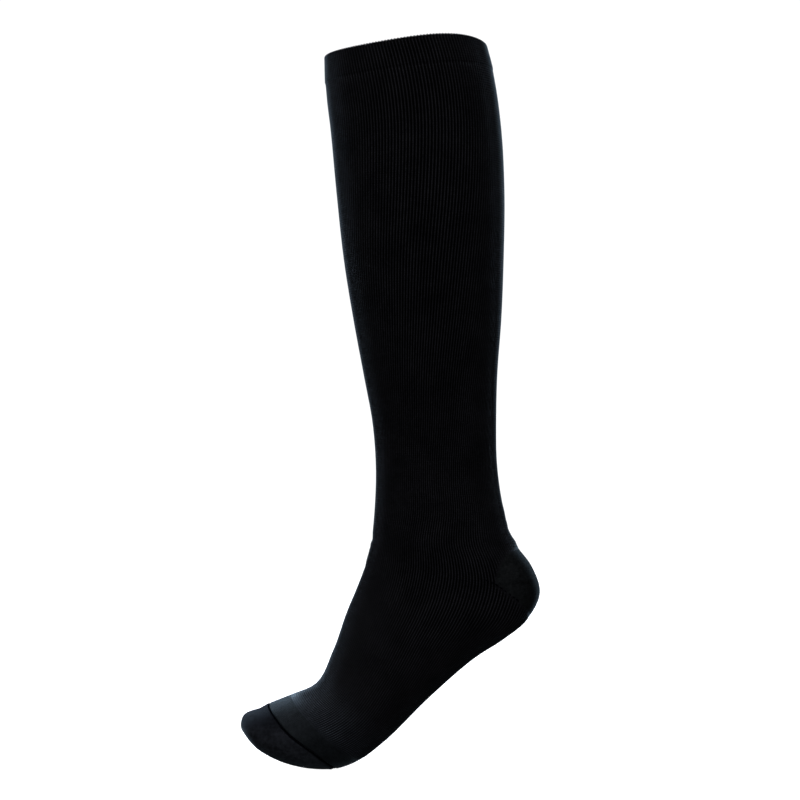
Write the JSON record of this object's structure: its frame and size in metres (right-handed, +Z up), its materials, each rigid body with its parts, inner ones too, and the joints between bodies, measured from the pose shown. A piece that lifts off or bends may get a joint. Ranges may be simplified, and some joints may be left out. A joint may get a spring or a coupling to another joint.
{
  "type": "compression stocking",
  "caption": "Knee-high ribbed compression stocking with a turned top band, a plain-knit heel pocket and a closed toe, hollow and filled out as when worn.",
  "frame": {"origin": "centre of the top opening, in the plane of its edge, where the wearer's leg holds the stocking up", "axes": "+Z up the leg, toe towards -X, heel towards +X, +Y across the leg"},
  "size_m": [0.1993, 0.108, 0.4844],
  "materials": {
    "rib_knit": "near-black nylon and elastane rib knit, matt with a faint bluish bloom",
    "band_knit": "near-black doubled rib knit welt, matt",
    "heel_knit": "dark slate plain knit, matt and a little lighter than the ribs",
    "toe_knit": "dark slate plain knit, matt"
  },
  "bodies": {
    "root": {"top_band": "band_knit", "leg": "rib_knit", "heel": "heel_knit", "foot": "rib_knit", "toe_panel": "toe_knit", "toe_cap": "toe_knit"}
  },
  "joints": []
}
